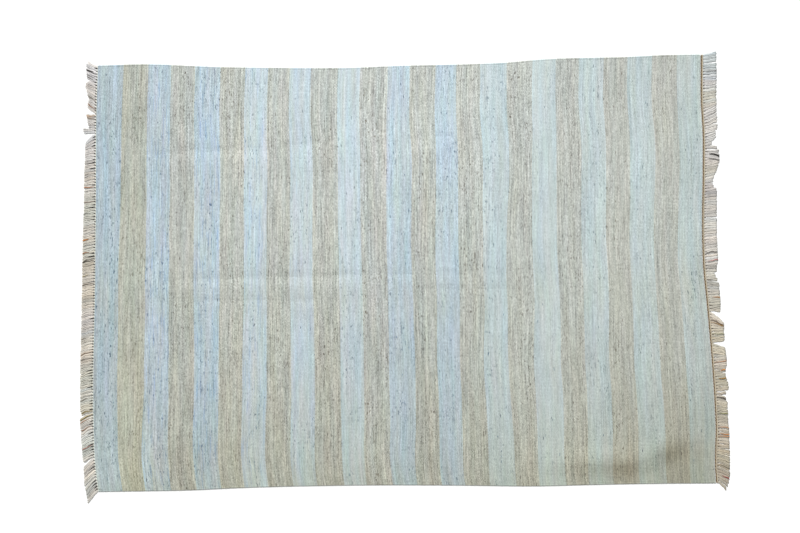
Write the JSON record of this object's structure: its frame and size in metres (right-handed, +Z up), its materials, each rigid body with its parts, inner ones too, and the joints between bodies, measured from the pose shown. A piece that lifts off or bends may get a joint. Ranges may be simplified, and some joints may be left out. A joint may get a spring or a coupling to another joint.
{
  "type": "dhurrie rug",
  "caption": "Flatwoven striped rug lying flat, with slightly bowed edges, a twined cord along one end and a warp-tassel fringe at both ends.",
  "frame": {"origin": "under the middle of the whole outline, fringes included, on the floor", "axes": "+X along the rug towards the corded end, +Y across it, +Z up from the floor"},
  "size_m": [2.4632, 1.6984, 0.0135],
  "materials": {
    "flatweave": "weft-faced flatweave of matt hand-spun yarn, pale blue and beige stripes with slubs",
    "cord_yarn": "matt twined olive-brown yarn",
    "fringe_yarn": "matt twisted ecru yarn"
  },
  "bodies": {
    "root": {"woven_field": "flatweave", "end_cord": "cord_yarn", "fringe_left": "fringe_yarn", "fringe_right": "fringe_yarn"}
  },
  "joints": []
}
